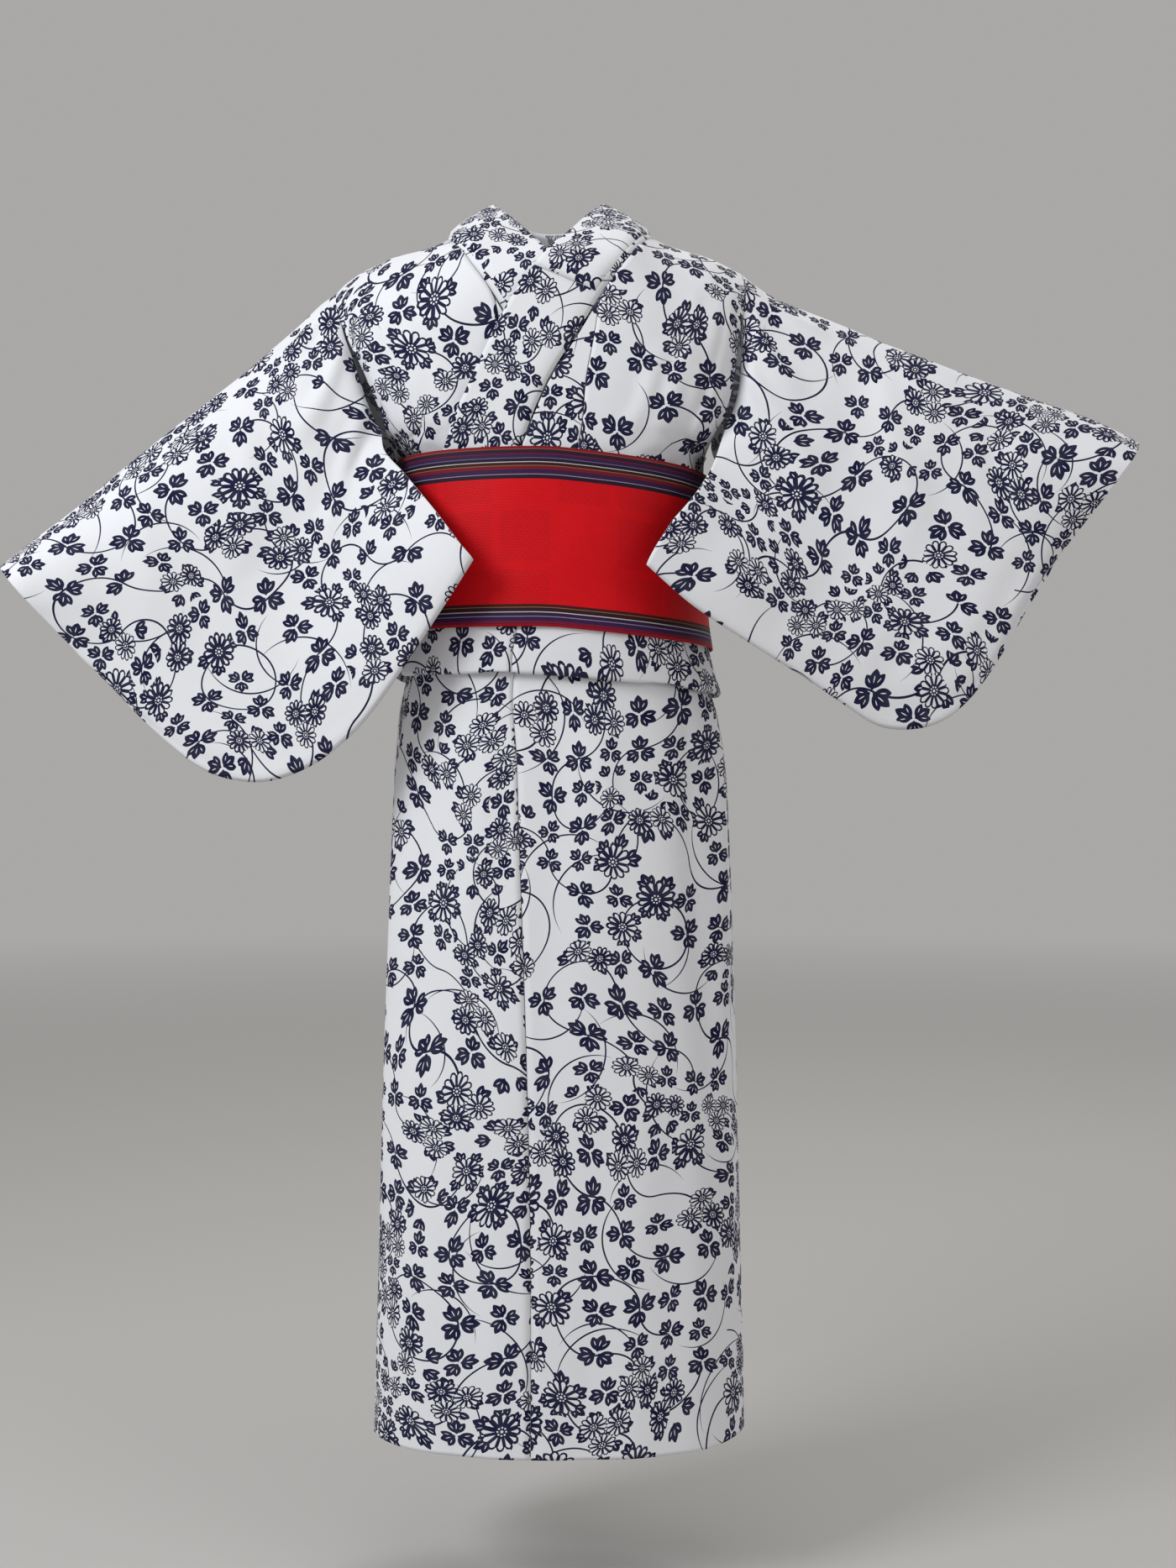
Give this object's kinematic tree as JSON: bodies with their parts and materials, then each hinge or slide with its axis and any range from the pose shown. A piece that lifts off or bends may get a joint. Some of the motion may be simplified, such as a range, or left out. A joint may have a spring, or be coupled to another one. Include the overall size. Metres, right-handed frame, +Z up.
{
  "type": "cotton yukata robe with its belt, worn open and hollow",
  "caption": "Printed cotton summer robe in worn form, hollow, with wide hanging sleeves, crossed collar, waist tuck and a plain woven belt.",
  "frame": {"origin": "middle line of the body, level with the collar's seam on the shoulders, where the wearer holds the robe up", "axes": "+Z up, -Y towards the front, +X towards the wearer's left"},
  "size_m": [1.0941, 0.3013, 1.2093],
  "materials": {
    "printed_cotton": "matte",
    "woven_belt": "matte"
  },
  "bodies": {
    "root": {"body_left": "printed_cotton", "body_right": "printed_cotton", "okumi_left": "printed_cotton", "okumi_right": "printed_cotton", "skirt_front_left": "printed_cotton", "skirt_okumi_left": "printed_cotton", "skirt_back_left": "printed_cotton", "skirt_back_right": "printed_cotton", "skirt_front_right": "printed_cotton", "skirt_okumi_right": "printed_cotton", "collar": "printed_cotton", "collar_cover": "printed_cotton", "sleeve_left": "printed_cotton", "sleeve_right": "printed_cotton", "obi": "woven_belt"}
  },
  "joints": []
}
